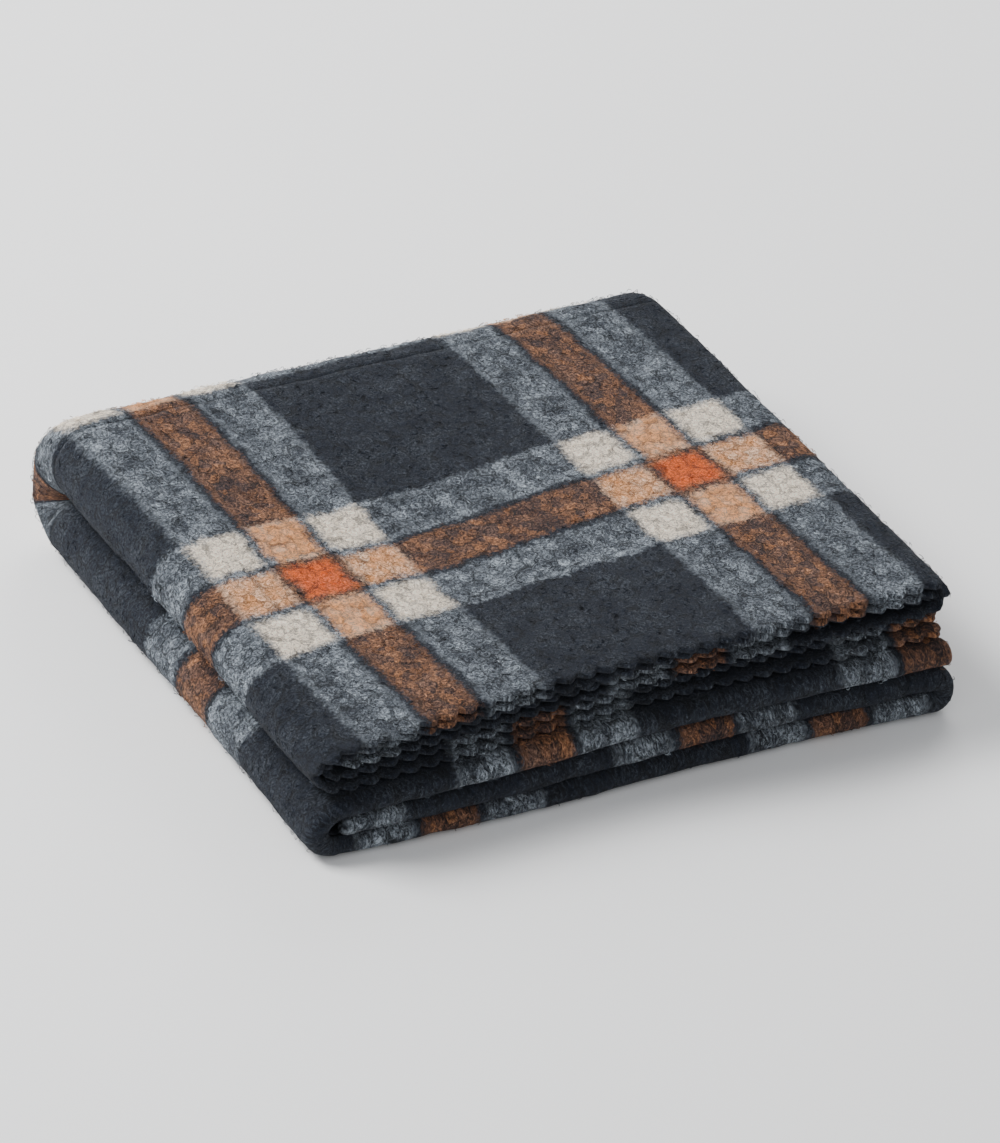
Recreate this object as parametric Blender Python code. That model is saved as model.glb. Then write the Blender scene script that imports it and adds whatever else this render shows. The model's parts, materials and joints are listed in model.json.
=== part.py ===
"""Folded camp blanket: one thick wool sheet, folded in half, then in thirds, then in half again.

The sheet is modelled as it lies in the pack, split into panels and folds at its creases.
X runs along the front, Y from the front to the back, Z up. Z = 0 is the surface it lies on.
First fold: the length is halved, which gives an outer and an inner layer, joined at one end.
Second fold: the doubled strip is folded in thirds. The right third goes under the middle one,
then the left third goes under both. Third fold: the bundle is halved at the back, over the hinge.
So each half of the pack has six layers, counted here from the middle of the pack outwards.
"""

import math

import bmesh
import bpy
from mathutils import Matrix, Vector

# The sheet
BLANKET_WIDTH = 1.40  # selvedge to selvedge, folded in thirds along X
BLANKET_LENGTH = 1.65  # cut end to cut end, halved twice along Y
CLOTH_THICKNESS = 0.0080  # one layer of milled wool as it lies in the pack
LOBE_PITCH = 0.0143  # the scalloped border, one lobe to the next
LOBE_DEPTH = 0.0045

# The pack
LAYER_GAP = 0.00034  # between two layers, and between two pieces of one layer
FREE_EDGE_INSET = 0.0020  # the left third's selvedge stops this far short of the right folds

# How finely round shapes are cut up
ARC_STEPS = 10
LOBE_STEPS = 3

# Colours of the wool
NAVY = (0.040, 0.047, 0.068)
SLATE = (0.185, 0.215, 0.255)
CREAM = (0.700, 0.640, 0.530)
ORANGE = (0.560, 0.130, 0.030)
WOOL_ROUGHNESS = 0.95

# Layers, counted from the middle of the pack outwards
LEFT_OUTER, LEFT_INNER, RIGHT_OUTER, RIGHT_INNER, MIDDLE_INNER, MIDDLE_OUTER = range(6)
LAYERS = 6

PITCH = CLOTH_THICKNESS + LAYER_GAP
HALF_HEIGHT = LAYERS * PITCH - LAYER_GAP / 2
HINGE_Z = HALF_HEIGHT
LEFT_FOLD_CENTRE = 3 * PITCH  # height of the left folds' centre line above the middle of the pack
RIGHT_FOLD_CENTRE = 4 * PITCH
LEFT_FOLD_RADII = {"outer": 2.5 * PITCH, "inner": 1.5 * PITCH}
RIGHT_FOLD_RADII = {"outer": 1.5 * PITCH, "inner": 0.5 * PITCH}
TURN_RADIUS = PITCH - LAYER_GAP / 2  # outside of a fold with one layer each side of it

# Along X, the outer layer's width is three panels, two folds and the stretch beside the right fold
LEFT_REACH = LEFT_FOLD_RADII["outer"] + CLOTH_THICKNESS / 2
RIGHT_REACH = RIGHT_FOLD_RADII["outer"] + CLOTH_THICKNESS / 2
FREE_EDGE_REACH = RIGHT_REACH - FREE_EDGE_INSET
FOLD_ARCS_X = math.pi * (LEFT_FOLD_RADII["outer"] + RIGHT_FOLD_RADII["outer"])
PANEL_WIDTH = (BLANKET_WIDTH - FOLD_ARCS_X - FREE_EDGE_REACH) / 3
PACK_WIDTH = LEFT_REACH + PANEL_WIDTH + RIGHT_REACH
LEFT_CREASE = LEFT_REACH - PACK_WIDTH / 2
RIGHT_CREASE = LEFT_CREASE + PANEL_WIDTH
FREE_EDGE = RIGHT_CREASE + FREE_EDGE_REACH

# Along Y, half the length is an upper and a lower panel, half the first fold and the back fold
FRONT_ARC = math.pi * PITCH / 4
BACK_ARC = math.pi * LAYERS * PITCH / 2  # mean over the six layers
PANEL_LENGTH = (BLANKET_LENGTH / 2 - FRONT_ARC - BACK_ARC + TURN_RADIUS) / 2
PACK_DEPTH = PANEL_LENGTH + HALF_HEIGHT
FRONT = -PACK_DEPTH / 2
HINGE_Y = PACK_DEPTH / 2 - HALF_HEIGHT
LOWER_FRONT = FRONT + TURN_RADIUS


def clear_scene():
    for old in list(bpy.data.objects):
        bpy.data.objects.remove(old, do_unlink=True)


def wool(name, colour):
    material = bpy.data.materials.new(name)
    material.use_nodes = True
    shader = material.node_tree.nodes["Principled BSDF"]
    shader.inputs["Base Color"].default_value = (*colour, 1.0)
    shader.inputs["Roughness"].default_value = WOOL_ROUGHNESS
    shader.inputs["Metallic"].default_value = 0.0
    return material


def add_object(name, bm, colour, parent, smooth):
    """One closed piece from bm. Its origin is its parent's, so that it turns about the hinge."""
    bmesh.ops.recalc_face_normals(bm, faces=bm.faces)
    mesh = bpy.data.meshes.new(name)
    bm.transform(Matrix.Translation(-parent.location))
    bm.to_mesh(mesh)
    bm.free()
    if smooth:
        mesh.shade_smooth()
        mesh.set_sharp_from_angle(angle=math.radians(40))
    mesh.materials.append(wool(name, colour))
    piece = bpy.data.objects.new(name, mesh)
    piece.parent = parent
    bpy.context.collection.objects.link(piece)
    return piece


def body_empty(name):
    """The hinge's place. The lower half stays, and the upper half turns about X through it."""
    empty = bpy.data.objects.new(name, None)
    empty.location = (0.0, HINGE_Y, HINGE_Z)
    bpy.context.collection.objects.link(empty)
    return empty


def face_from(outline):
    bm = bmesh.new()
    bm.faces.new([bm.verts.new(point) for point in outline])
    return bm


def extruded(outline, along):
    """The flat outline, drawn out along a vector."""
    bm = face_from(outline)
    grown = bmesh.ops.extrude_face_region(bm, geom=list(bm.faces))["geom"]
    tips = [item for item in grown if isinstance(item, bmesh.types.BMVert)]
    bmesh.ops.translate(bm, verts=tips, vec=along)
    return bm


def spun(outline, centre, axis):
    """The flat outline, turned half a turn about an axis beside it."""
    bm = face_from(outline)
    geom = list(bm.verts) + list(bm.edges) + list(bm.faces)
    bmesh.ops.spin(bm, geom=geom, cent=centre, axis=axis, angle=math.pi, steps=ARC_STEPS)
    return bm


def half_ring(centre, outward, side, radius):
    """A folded layer's section: from centre + side * radius, round through outward, to the other end."""
    centre, outward, side = Vector(centre), Vector(outward), Vector(side)
    turns = [math.pi * step / ARC_STEPS for step in range(ARC_STEPS + 1)]

    def arc(r):
        return [centre + r * (math.cos(turn) * side + math.sin(turn) * outward) for turn in turns]

    outer = arc(radius + CLOTH_THICKNESS / 2)
    if radius < CLOTH_THICKNESS:  # folded flat on itself, with no hollow inside
        return outer
    return outer + arc(radius - CLOTH_THICKNESS / 2)[::-1]


def lobed_edge(start, end, outward):
    """Points from start up to end, with round lobes that stand out towards outward as far as the edge."""
    start, end, outward = Vector(start), Vector(end), Vector(outward)
    count = max(1, round((end - start).length / LOBE_PITCH))
    points = []
    for step in range(count * LOBE_STEPS):
        phase = math.pi * (step % LOBE_STEPS) / LOBE_STEPS
        inset = LOBE_DEPTH * (1 - math.sin(phase))
        points.append(start.lerp(end, step / (count * LOBE_STEPS)) - outward * inset)
    return points


def layer_height(layer, half):
    """Middle of a layer's thickness. half is 1 above the middle of the pack and -1 below it."""
    return HINGE_Z + half * (layer + 0.5) * PITCH


def panel_span(layer):
    """A panel's ends in X, and which of them is a free selvedge."""
    left, right = LEFT_CREASE + LAYER_GAP / 2, RIGHT_CREASE - LAYER_GAP / 2
    if layer in (LEFT_OUTER, LEFT_INNER):
        return left, FREE_EDGE, "right"
    if layer in (RIGHT_OUTER, RIGHT_INNER):
        return left, right, "left"
    return left, right, None


def panel(name, layer, half, colour, parent):
    """One layer of one third, from the front to the hinge, lobed where the sheet is cut."""
    left, right, free = panel_span(layer)
    front = FRONT if half > 0 else LOWER_FRONT + LAYER_GAP
    back = HINGE_Y - LAYER_GAP
    z = layer_height(layer, half) - CLOTH_THICKNESS / 2
    corners = [Vector((left, front, z)), Vector((right, front, z))]
    corners += [Vector((right, back, z)), Vector((left, back, z))]
    if free == "right":
        corners[2].x -= LOBE_DEPTH
    if free == "left":
        corners[3].x += LOBE_DEPTH
    sides = [
        (half > 0, Vector((0, -1, 0))),
        (free == "right", Vector((1, 0, 0))),
        (False, Vector((0, 1, 0))),
        (free == "left", Vector((-1, 0, 0))),
    ]
    outline = []
    for index, (lobed, outward) in enumerate(sides):
        start, end = corners[index], corners[(index + 1) % 4]
        if lobed:
            # The lobes' tips reach the edge's own line, and their valleys lie inside it
            start, end = start.copy(), end.copy()
            if outward.x > 0:
                start.y += LOBE_DEPTH * (half > 0)
                end.x = start.x
            if outward.x < 0:
                end.y += LOBE_DEPTH * (half > 0)
                start.x = end.x
            outline += lobed_edge(start, end, outward)
        else:
            outline.append(start)
    bm = extruded(outline, Vector((0, 0, CLOTH_THICKNESS)))
    return add_object(name, bm, colour, parent, smooth=False)


def side_fold(name, side, layer, half, colour, parent):
    """A fold that joins two thirds along the left or right side. side is -1 or 1."""
    if side < 0:
        x, height, radius = LEFT_CREASE, LEFT_FOLD_CENTRE, LEFT_FOLD_RADII[layer]
    else:
        x, height, radius = RIGHT_CREASE, RIGHT_FOLD_CENTRE, RIGHT_FOLD_RADII[layer]
    front = FRONT + LOBE_DEPTH if half > 0 else LOWER_FRONT + LAYER_GAP
    centre = (x + side * LAYER_GAP / 2, front, HINGE_Z + half * height)
    outline = half_ring(centre, (side, 0, 0), (0, 0, 1), radius)
    bm = extruded(outline, Vector((0, HINGE_Y - LAYER_GAP - front, 0)))
    return add_object(name, bm, colour, parent, smooth=True)


def front_fold(name, layer, colour, parent):
    """The first fold, where a third's outer and inner layers meet. layer is the lower-numbered one."""
    left, right, free = panel_span(layer)
    if free == "right":
        right -= LOBE_DEPTH
    if free == "left":
        left += LOBE_DEPTH
    z = (layer_height(layer, -1) + layer_height(layer + 1, -1)) / 2
    outline = half_ring((left, LOWER_FRONT, z), (0, -1, 0), (0, 0, 1), PITCH / 2)
    bm = extruded(outline, Vector((right - left, 0, 0)))
    return add_object(name, bm, colour, parent, smooth=True)


def front_corner(name, side, colour, parent):
    """The first fold where it turns round a side fold of the lower half."""
    if side < 0:
        x, height, radii = LEFT_CREASE, LEFT_FOLD_CENTRE, LEFT_FOLD_RADII
    else:
        x, height, radii = RIGHT_CREASE, RIGHT_FOLD_CENTRE, RIGHT_FOLD_RADII
    pivot = Vector((x + side * LAYER_GAP / 2, LOWER_FRONT, HINGE_Z - height))
    reach = (radii["outer"] + radii["inner"]) / 2
    outline = half_ring(pivot + Vector((0, 0, reach)), (0, -1, 0), (0, 0, 1), PITCH / 2)
    bm = spun(outline, pivot, (0, side, 0))
    return add_object(name, bm, colour, parent, smooth=True)


def back_fold(name, layer, colour, parent):
    """One layer of a third, bent over the hinge from the lower half to the upper."""
    left, right, free = panel_span(layer)
    if free == "right":
        right -= LOBE_DEPTH
    if free == "left":
        left += LOBE_DEPTH
    centre = (left, HINGE_Y, HINGE_Z)
    outline = half_ring(centre, (0, 1, 0), (0, 0, 1), (layer + 0.5) * PITCH)
    bm = extruded(outline, Vector((right - left, 0, 0)))
    return add_object(name, bm, colour, parent, smooth=True)


def back_corner(name, side, layer, colour, parent):
    """A side fold, bent over the hinge with the layers that it joins."""
    if side < 0:
        x, height, radius = LEFT_CREASE, LEFT_FOLD_CENTRE, LEFT_FOLD_RADII[layer]
    else:
        x, height, radius = RIGHT_CREASE, RIGHT_FOLD_CENTRE, RIGHT_FOLD_RADII[layer]
    centre = (x + side * LAYER_GAP / 2, HINGE_Y, HINGE_Z - height)
    outline = half_ring(centre, (side, 0, 0), (0, 0, 1), radius)
    bm = spun(outline, (0, HINGE_Y, HINGE_Z), (1, 0, 0))
    return add_object(name, bm, colour, parent, smooth=True)


THIRDS = {
    "left": (LEFT_OUTER, LEFT_INNER),
    "right": (RIGHT_OUTER, RIGHT_INNER),
    "middle": (MIDDLE_OUTER, MIDDLE_INNER),
}


def build_half(prefix, half, parent):
    """Six panels and the four side folds that join them."""
    for third, layers in THIRDS.items():
        for layer, side in zip(layers, ("outer", "inner")):
            colour = NAVY if third == "middle" else SLATE
            panel(f"{prefix}_{third}_{side}", layer, half, colour, parent)
    for layer in ("outer", "inner"):
        side_fold(f"{prefix}_left_fold_{layer}", -1, layer, half, ORANGE, parent)
        side_fold(f"{prefix}_right_fold_{layer}", 1, layer, half, CREAM, parent)


def build_front_folds(parent):
    front_fold("front_fold_left", LEFT_OUTER, CREAM, parent)
    front_fold("front_fold_right", RIGHT_OUTER, ORANGE, parent)
    front_fold("front_fold_middle", MIDDLE_INNER, CREAM, parent)
    front_corner("front_corner_left", -1, SLATE, parent)
    front_corner("front_corner_right", 1, SLATE, parent)


def build_back_folds(parent):
    for third, layers in THIRDS.items():
        for layer, side in zip(layers, ("outer", "inner")):
            back_fold(f"back_fold_{third}_{side}", layer, NAVY, parent)
    for layer in ("outer", "inner"):
        back_corner(f"back_corner_left_{layer}", -1, layer, SLATE, parent)
        back_corner(f"back_corner_right_{layer}", 1, layer, SLATE, parent)


clear_scene()
lower_half = body_empty("lower_half")
upper_half = body_empty("upper_half")
build_half("lower", -1, lower_half)
build_half("upper", 1, upper_half)
build_front_folds(lower_half)
build_back_folds(lower_half)
bpy.context.view_layer.update()
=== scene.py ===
"""Folded camp blanket in thick curly wool: the looks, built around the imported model.

The blanket is one sheet, doubled, folded in thirds and folded in half at the back. Each half of
the pack is modelled as two layers of cloth that follow the folds, and the layers bend over the
hinge at the back. A pile of curled wool stands on the faces that can be seen.
"""

import json
import math

import bpy
import numpy as np
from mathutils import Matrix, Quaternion, Vector
from mathutils.bvhtree import BVHTree

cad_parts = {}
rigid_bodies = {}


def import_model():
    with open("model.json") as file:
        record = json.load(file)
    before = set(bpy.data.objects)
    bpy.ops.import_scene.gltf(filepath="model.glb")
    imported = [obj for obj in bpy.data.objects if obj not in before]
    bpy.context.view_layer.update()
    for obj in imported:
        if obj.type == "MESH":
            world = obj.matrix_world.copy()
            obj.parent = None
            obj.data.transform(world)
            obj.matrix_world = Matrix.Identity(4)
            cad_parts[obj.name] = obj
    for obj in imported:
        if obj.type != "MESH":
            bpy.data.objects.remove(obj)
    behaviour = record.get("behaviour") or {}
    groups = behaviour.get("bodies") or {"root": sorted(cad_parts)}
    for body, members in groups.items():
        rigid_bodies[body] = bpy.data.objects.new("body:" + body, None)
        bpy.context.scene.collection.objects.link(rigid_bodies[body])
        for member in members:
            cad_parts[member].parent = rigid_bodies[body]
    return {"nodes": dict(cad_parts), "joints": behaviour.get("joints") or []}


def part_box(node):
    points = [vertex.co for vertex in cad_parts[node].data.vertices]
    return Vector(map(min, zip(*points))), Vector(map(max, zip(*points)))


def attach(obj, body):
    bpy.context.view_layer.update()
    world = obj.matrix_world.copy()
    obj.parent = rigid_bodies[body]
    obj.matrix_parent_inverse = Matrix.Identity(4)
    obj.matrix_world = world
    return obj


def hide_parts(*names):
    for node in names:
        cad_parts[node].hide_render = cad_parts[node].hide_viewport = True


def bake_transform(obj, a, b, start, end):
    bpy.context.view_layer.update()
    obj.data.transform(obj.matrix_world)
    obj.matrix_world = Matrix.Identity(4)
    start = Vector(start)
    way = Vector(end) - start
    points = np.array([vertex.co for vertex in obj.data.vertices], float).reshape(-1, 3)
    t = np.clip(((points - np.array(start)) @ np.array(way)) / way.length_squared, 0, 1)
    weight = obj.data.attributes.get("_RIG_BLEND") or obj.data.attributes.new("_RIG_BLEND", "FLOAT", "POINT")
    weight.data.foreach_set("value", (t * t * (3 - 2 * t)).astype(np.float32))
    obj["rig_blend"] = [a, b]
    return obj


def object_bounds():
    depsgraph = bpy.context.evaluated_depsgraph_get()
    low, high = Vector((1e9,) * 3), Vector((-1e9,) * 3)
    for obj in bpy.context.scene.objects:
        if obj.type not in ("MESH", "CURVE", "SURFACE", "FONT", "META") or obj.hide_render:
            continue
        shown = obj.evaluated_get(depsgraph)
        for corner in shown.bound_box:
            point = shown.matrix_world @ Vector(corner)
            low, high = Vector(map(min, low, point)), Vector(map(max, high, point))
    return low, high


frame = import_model()
CAD_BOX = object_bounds()

bl_info = {
    "name": "Folded Camp Blanket",
    "version": (1, 0, 0),
    "blender": (4, 5, 0),
    "location": "View3D > Sidebar > Blanket",
    "description": "Builds a folded plaid wool blanket around its packed model",
    "category": "Object",
}

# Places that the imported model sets
HINGE = frame["joints"][0]["pos_m"]
LOWER, UPPER = frame["joints"][0]["parent"], frame["joints"][0]["child"]
TOP_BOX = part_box("upper_middle_outer")
PITCH = TOP_BOX[0].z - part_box("upper_middle_inner")[0].z
THICKNESS = TOP_BOX[1].z - TOP_BOX[0].z
LEFT, RIGHT = TOP_BOX[0].x, TOP_BOX[1].x
FREE_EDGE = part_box("upper_left_outer")[1].x
CUT_FRONT = TOP_BOX[0].y
FOLD_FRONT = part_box("lower_middle_outer")[0].y
HALF_WIDTH = (CAD_BOX[1].x - CAD_BOX[0].x) / 2
HALF_DEPTH = (CAD_BOX[1].y - CAD_BOX[0].y) / 2
HALF_HEIGHT = 6 * PITCH

# Heights of the doubled layers' middle above the middle of the pack, and their folds
LEFT_THIRD, RIGHT_THIRD, MIDDLE_THIRD = 1 * PITCH, 3 * PITCH, 5 * PITCH
LEFT_FOLD = (3 * PITCH, 2 * PITCH)  # centre's height, radius
RIGHT_FOLD = (4 * PITCH, 1 * PITCH)

# How the cloth is cut up
EDGE_ROUNDING = 0.55  # share of the thickness over which a cut edge is rounded
RIM_ROWS = THICKNESS * np.array([0.05, 0.16, 0.32])  # extra rows close to a cut edge
FOLD_STEPS = 8
PLUMPNESS = 1.03  # the layers swell until they touch
FRONT_THINNING = 0.34  # the cloth is thinner at its cut front, so that its layers part

# Along the sheet, from the cut end to the hinge line, round the back, and on to the first fold
CUT_TO_HINGE = HINGE[1] - CUT_FRONT
BACK_LENGTH = math.pi * (MIDDLE_THIRD + PITCH / 2)
BACK_STEPS = 24

# How the pack lies, beside one that is square, level and tight
SKEW = 0.008  # how far its corners have slid out of square
CORNER_HEIGHTS = (0.88, 1.06, 1.06, 1.0)  # front left, front right, back left and back right
RIDGE, DIP, DROP = 0.03, 0.09, 0.07  # shares of the height by which it swells or sinks
LEFT_LEAN = (0.009, 0.006)  # how far the left side is pushed out, low at the front and at the back
RIGHT_LEAN = 0.006  # how far the top is pushed in at the right
FRONT_TOE = 0.005  # how far the lowest layers stand out at the front
STRETCH = 0.02  # share of the depth that the pack gains
SIDE_WAVE, FRONT_WAVE = 0.003, 0.002  # how far the sides and the front wander

# Where it swells and sinks, in shares of the half width and half depth from the middle
RIDGE_PLACE, RIDGE_SPREAD = 0.3, 0.4
DIP_PLACE, DIP_SPREAD = (-0.25, -0.1), (0.35, 0.45)
DROP_PLACE, DROP_SPREAD = (-0.62, 0.2), 0.5

# The milled surface and the cut edges
LUMP_SIZES = (0.021, 0.0085)
FINE_LUMPS = 0.7  # height of the fine lumps beside that of the wide ones
STAGGER_WAVE = 0.13
STAGGER_REACH = 10  # edge reaches over which the stagger eases out
THINNING_REACH = 0.03
INNER_SETBACK = 0.3  # how much of the setback the inner layer adds

# The wool's look
OFF_GRAIN = (0.057, 0.043)  # slope of the plaid's yarns to the folds, along and up the sheet
NAVY_COVER = 6.0  # how much more of the face navy yarn covers than cream where they cross
ORANGE_EXTRA = 4.5  # and how much more orange covers than cream
MOTTLE_CONTRAST = 22.0
MOTTLE_SHARES = {"Curl": 0.55, "Strand": 0.8, "Fuzz": 0.8, "Patch": 0.4}
CURL_SIZE = 0.0068
STRIPE_SOFTNESS = 0.0042
STRIPE_DRIFT, DRIFT_SCALE = 0.010, 60.0  # how far the stripes wander, and how often
STRIPE_FRAY, FRAY_SCALE = 0.011, 420.0
FLECK_COVER = 0.11  # most that pale flecks cover
PAINTED_SHADE, PAINTED_HIGHLIGHT = 0.30, 1.60  # brightness painted into the colour: painted shade deep between the curls and painted highlight on top of them
BUMP_STRENGTH, BUMP_DEPTH = 0.9, 0.0018
SHEEN, SHEEN_ROUGHNESS, SHEEN_TINT = 0.09, 0.45, (0.86, 0.88, 0.92, 1.0)
WOOL_SPECULAR = 0.15

# The pile of curls
CURL_SHARES = {"upper": 1.0, "lower": 0.8, "back": 0.35}  # of the number that is set
DRAWN_PER_CURL = 4  # points tried for each curl, because many lie between the layers
CLEAR_SPACE = 0.010  # how much must be free in front of a curl
STAND_OFF = 0.0004  # where the search for free space starts, above the cloth
JOINED_STRIP = 0.004  # beside the hinge line, where the halves meet the back
CURL_RINGS = 3
CURL_RADIUS = (0.20, 0.22)  # least, and what chance may add, in curl lengths
CURL_LIFT = (0.12, 0.38)
CURL_SWEEP = (2.6, 5.0)  # angle from root to tip
CURL_CENTRE = 0.7  # how far a curl's middle is moved back over its root, in radii
ROOT_DEPTH = 0.0002
REST_REACH, REST_HEIGHT = 0.004, 0.002  # a curl this close to the floor is left off

# The stage
FLOOR_SIZE, FLOOR_DROP = 30.0, 0.0005
LAMPS = {  # place, size and power
    "key_lamp": ((-1.7, 1.3, 2.4), 1.4, 165.0),
    "fill_lamp": ((-1.2, -2.4, 1.5), 2.4, 12.0),
    "back_lamp": ((1.6, 2.0, 1.6), 1.6, 40.0),
}
STUDIO_COLOUR, STUDIO_LIGHT = (0.95, 0.97, 1.0, 1.0), 0.55
FLOOR_TONES = ((0.90, 0.90, 0.90, 1.0), (0.94, 0.94, 0.94, 1.0))
CAMERA_AZIMUTH, CAMERA_ELEVATION = math.radians(-29.0), math.radians(35.0)
CAMERA_ROLL = math.radians(3.5)
CAMERA_DISTANCE = 5.0
CAMERA_SHIFT = (0.0115, 0.0268)  # how far the middle of the view lies right of and above the origin
CAMERA_SENSOR = 36.0
VIEW_HEIGHT = 0.776  # how much is seen from the top to the bottom of the view


def metres(name, default, description):
    """A length that the user can set."""
    return bpy.props.FloatProperty(
        name=name, default=default, description=description, subtype="DISTANCE", unit="LENGTH"
    )


def share(name, default, description):
    """A share that the user can set."""
    return bpy.props.FloatProperty(name=name, default=default, description=description, min=0.0)


def yarn(name, default, description):
    """A yarn's colour that the user can set."""
    return bpy.props.FloatVectorProperty(
        name=name, default=default, description=description, subtype="COLOR", size=3, min=0, max=1
    )


class BlanketCloth(bpy.types.PropertyGroup):
    lobe_pitch: metres("Lobe pitch", 0.0143, "From one lobe of the cut edge to the next")
    lobe_depth: metres("Lobe depth", 0.0060, "How far the valleys lie inside the lobes' tips")
    lobe_pinch: share("Lobe pinch", 0.45, "How much thinner the cloth is between two lobes")
    edge_reach: metres("Edge reach", 0.010, "How far in from the edge the lobes can be felt")
    lump_height: metres("Lump height", 0.0006, "How far the milled surface swells and sinks")
    stagger: metres("Edge stagger", 0.0025, "How far one cut edge lies behind another")
    setback: metres("Setback", 0.0070, "How far the cut edges under the top one lie behind it")
    repeat: metres("Plaid repeat", 0.281, "From one orange stripe to the next")
    warp_stripe: metres("First stripe along", 0.006, "An orange stripe's place from the left third's edge")
    weft_stripe: metres("First stripe up", 0.174, "An orange stripe's place from the cut end")
    orange_width: metres("Orange stripe", 0.035, "Width of the orange stripe")
    line_width: metres("Navy line", 0.0085, "Width of the thin navy line beside it")
    white_width: metres("White band", 0.038, "Width of the white band")


class BlanketColours(bpy.types.PropertyGroup):
    navy: yarn("Navy", (0.0070, 0.0105, 0.0195), "Ground yarn")
    cream: yarn("Cream", (0.86, 0.75, 0.61), "Band yarn over band yarn")
    mist: yarn("Mist", (0.56, 0.63, 0.70), "Band yarn over ground yarn")
    orange: yarn("Orange", (0.66, 0.11, 0.015), "Stripe yarn over stripe yarn")
    amber: yarn("Amber", (0.68, 0.27, 0.080), "Stripe yarn over any other yarn")


class BlanketPile(bpy.types.PropertyGroup):
    curls: bpy.props.IntProperty(name="Curls", default=10500, min=0, description="Curls on each face")
    length: metres("Curl length", 0.0055, "Length of one curled tuft of wool")
    width: metres("Curl width", 0.00050, "Width of one curled tuft at its root")


def settings():
    """The user's sizes of the cloth, its colours and its pile."""
    scene = bpy.context.scene
    return scene.blanket_cloth, scene.blanket_colours, scene.blanket_pile


# ---------------------------------------------------------------- the folded sheet


def lattice_noise(u, v, cell, seed):
    """Smooth noise from -1 to 1 over the cloth, with lumps about one cell wide."""
    table = np.random.RandomState(seed).rand(257, 257) * 2 - 1
    x, y = np.asarray(u) / cell + 1000, np.asarray(v) / cell + 1000
    i, j = np.floor(x).astype(int), np.floor(y).astype(int)
    fx, fy = x - i, y - j
    fx, fy = fx * fx * (3 - 2 * fx), fy * fy * (3 - 2 * fy)
    i, j = i % 256, j % 256
    low = table[i, j] * (1 - fx) + table[i + 1, j] * fx
    high = table[i, j + 1] * (1 - fx) + table[i + 1, j + 1] * fx
    return low * (1 - fy) + high * fy


def smooth(t):
    """Eases from 0 to 1, and stays level outside them."""
    t = np.clip(t, 0, 1)
    return t * t * (3 - 2 * t)


class Section:
    """The doubled sheet's path through the thirds, from the left third's selvedge to the right's.

    Each column has its place x and height n above the middle of the pack, and the direction out
    of the fold. u is the distance along the outer layer.
    """

    def __init__(self, lobe_pitch):
        width = RIGHT - LEFT
        half = PITCH / 2
        lengths = [
            FREE_EDGE - LEFT,
            math.pi * (LEFT_FOLD[1] + half),
            width,
            math.pi * (RIGHT_FOLD[1] + half),
            width,
        ]
        ends = np.cumsum([0] + lengths)
        self.length = ends[-1]
        self.lobes = round(self.length / lobe_pitch)
        step = self.length / (4 * self.lobes)
        steps = np.arange(4 * self.lobes + 1) * step
        u = np.concatenate([steps, RIM_ROWS, self.length - RIM_ROWS])
        self.u = u = np.sort(u)
        seg = np.clip(np.searchsorted(ends, u, side="right") - 1, 0, 4)
        t = (u - ends[seg]) / np.array(lengths)[seg]
        turn = math.pi * t
        nx = np.choose(seg, [0 * t, -np.sin(turn), 0 * t, np.sin(turn), 0 * t])
        nn = np.choose(seg, [0 * t - 1, -np.cos(turn), 0 * t + 1, np.cos(turn), 0 * t - 1])
        x = np.choose(
            seg,
            [
                FREE_EDGE - t * lengths[0],
                LEFT + nx * LEFT_FOLD[1],
                LEFT + t * width,
                RIGHT + nx * RIGHT_FOLD[1],
                RIGHT - t * width,
            ],
        )
        n = np.choose(
            seg,
            [
                0 * t + LEFT_THIRD,
                LEFT_FOLD[0] + nn * LEFT_FOLD[1],
                0 * t + MIDDLE_THIRD,
                RIGHT_FOLD[0] + nn * RIGHT_FOLD[1],
                0 * t + RIGHT_THIRD,
            ],
        )
        self.x, self.n, self.nx, self.nn = x, n, nx, nn
        self.phase = (u / (4 * step)) % 1.0
        self.from_edge = np.minimum(u, self.length - u)
        self.inward = np.where(u < self.length / 2, 1.0, -1.0)  # along the path, away from the edge


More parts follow.
